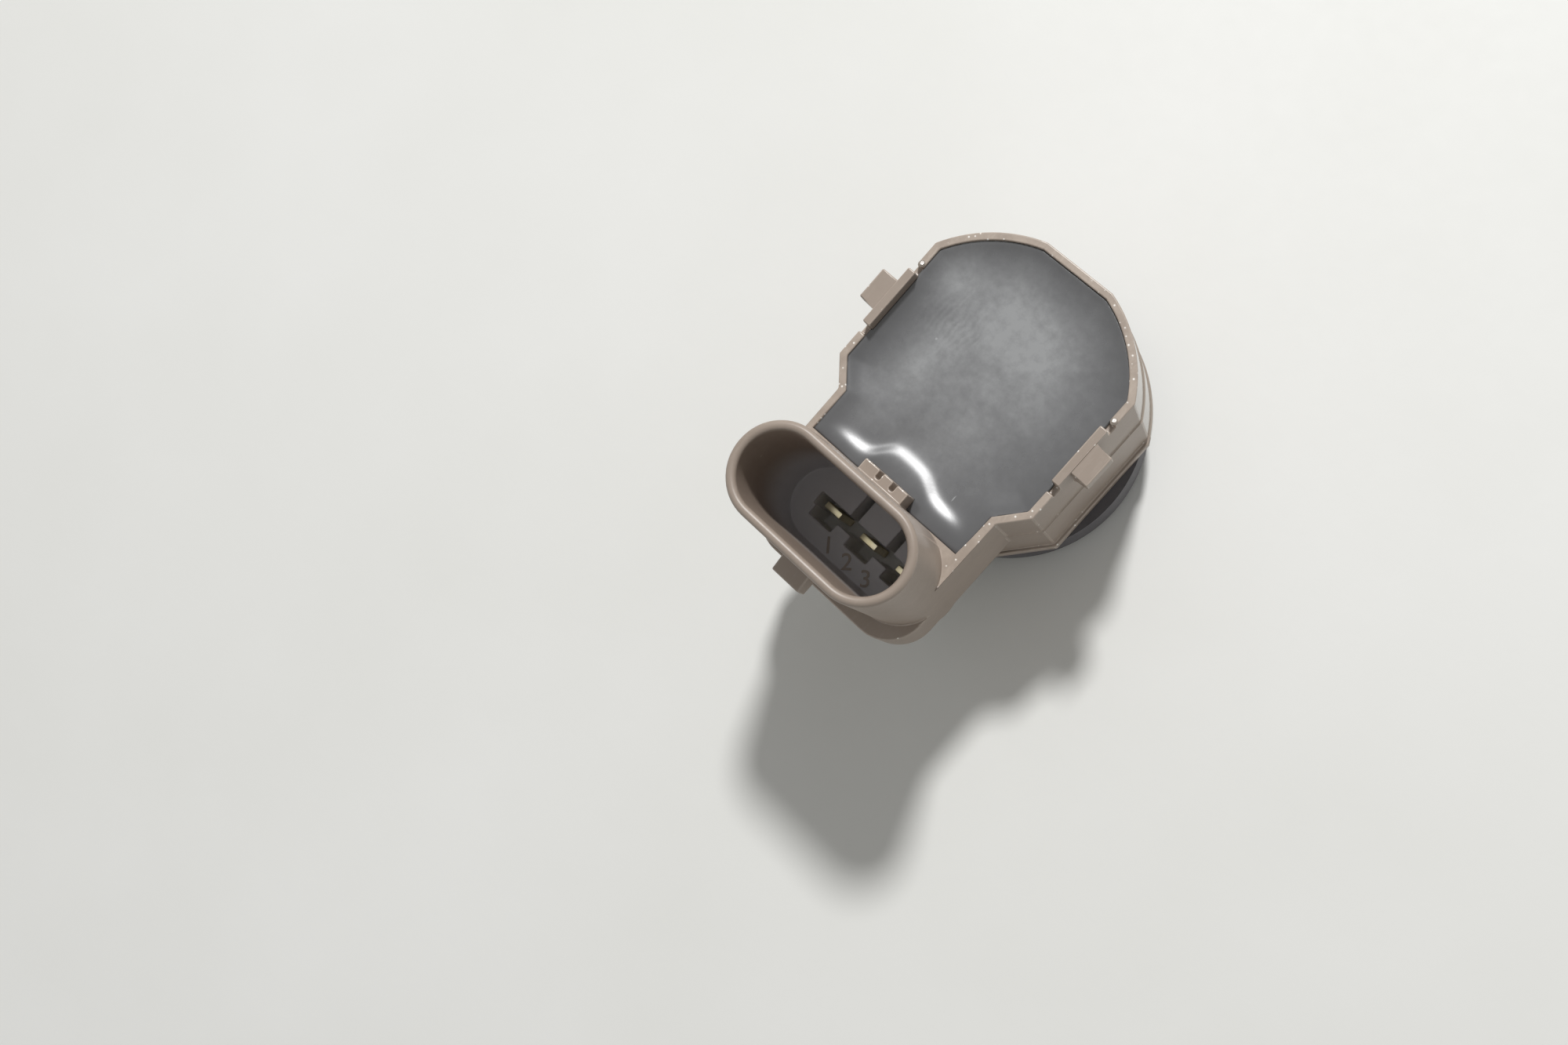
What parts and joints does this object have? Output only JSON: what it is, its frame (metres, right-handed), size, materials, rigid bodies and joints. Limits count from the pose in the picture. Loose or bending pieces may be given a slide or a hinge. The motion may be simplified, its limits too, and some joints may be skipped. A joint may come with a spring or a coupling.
{
  "type": "parking sensor",
  "caption": "Ultrasonic parking sensor: round potted cup with clip lugs, sounding face in a soft ring below and an upright three-way connector shroud beside the cup.",
  "frame": {"origin": "centre of the sounding face at the front of the diaphragm pot", "axes": "+Z along the sensor axis from the sounding face to the connector mouth, -Y towards the connector, X through the two clip lugs"},
  "size_m": [0.026, 0.0362, 0.0284],
  "materials": {
    "housing_plastic": "fine-grained moulded plastic",
    "potting_resin": "cast resin, glossy",
    "board_laminate": "solder-resist coated laminate",
    "chip_body": "moulded epoxy",
    "ferrite": "sintered ferrite",
    "copper_wire": "enamelled copper",
    "capacitor_body": "moulded block",
    "ceramic_chip": "fired ceramic",
    "resistor_chip": "glazed chip",
    "contact_metal": "tin-plated brass strip",
    "pot_aluminium": "deep-drawn, satin",
    "piezo_ceramic": "silvered ceramic",
    "damper_foam": "open foam",
    "silicone_fill": "soft cast silicone",
    "cap_plastic": "moulded plastic",
    "ring_silicone": "moulded silicone",
    "lead_signal": "sleeved wire",
    "lead_ground": "sleeved wire"
  },
  "bodies": {
    "root": {"housing": "housing_plastic", "potting_compound": "potting_resin", "circuit_board": "board_laminate", "signal_chip": "chip_body", "transformer_core": "ferrite", "transformer_winding": "copper_wire", "storage_capacitor": "capacitor_body", "chip_capacitors": "ceramic_chip", "chip_resistors": "resistor_chip", "contact_pin_1": "contact_metal", "contact_pin_2": "contact_metal", "contact_pin_3": "contact_metal", "diaphragm_pot": "pot_aluminium", "piezo_disc": "piezo_ceramic", "foam_damper": "damper_foam", "damping_fill": "silicone_fill", "pot_cap": "cap_plastic", "decoupling_ring": "ring_silicone", "piezo_lead_signal": "lead_signal", "piezo_lead_ground": "lead_ground"}
  },
  "joints": []
}
